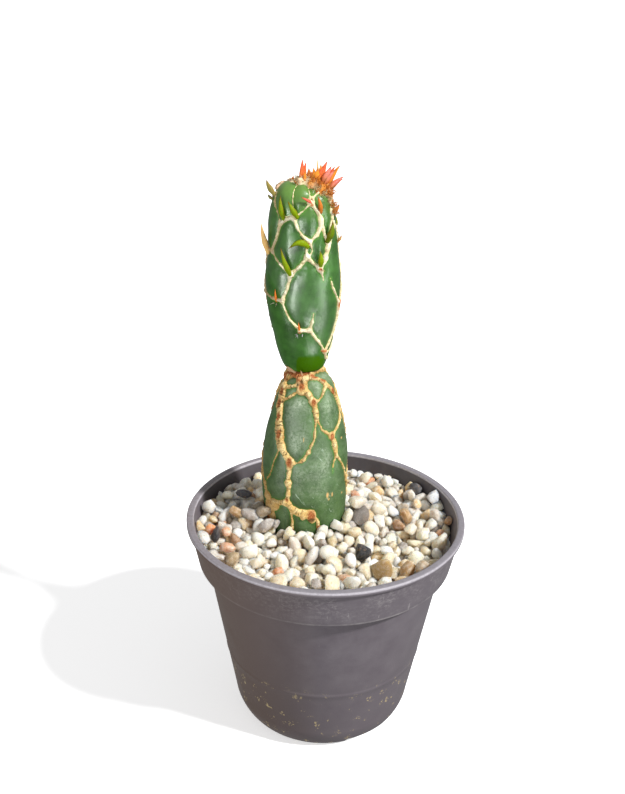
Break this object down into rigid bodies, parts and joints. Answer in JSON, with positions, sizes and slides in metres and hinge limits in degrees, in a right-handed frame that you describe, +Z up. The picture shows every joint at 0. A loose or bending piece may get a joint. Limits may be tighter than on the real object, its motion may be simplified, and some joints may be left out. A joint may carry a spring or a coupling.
{
  "type": "potted cobra opuntia",
  "caption": "Small prickly pear cactus of two stacked stem segments with a raised cork net, in a tapered plastic nursery pot topped with quartz gravel.",
  "frame": {"origin": "centre of the pot's foot, on the surface that the pot stands on", "axes": "+Z up along the pot's axis, -Y towards the front that the picture shows, +X to the right of it"},
  "size_m": [0.105, 0.105, 0.2177],
  "materials": {
    "pot_plastic": "moulded taupe grey polypropylene, lightly satin, with a chalky film and dust",
    "potting_mix": "dry peat and bark potting mix, matte",
    "gravel": "washed quartz grit in whites, creams and greys",
    "old_skin": "waxy grey-green cactus skin, dulled and finely scratched",
    "old_cork": "dry tan cork, finely cracked across",
    "young_skin": "glossy dark green cactus skin",
    "young_cork": "pale cream cork",
    "new_growth": "coral and orange young leaves in brown wool"
  },
  "bodies": {
    "root": {"pot": "pot_plastic", "potting_mix": "potting_mix", "gravel": "gravel", "lower_pad": "old_skin", "lower_net": "old_cork", "upper_pad": "young_skin", "upper_net": "young_cork", "crown": "new_growth"}
  },
  "joints": []
}
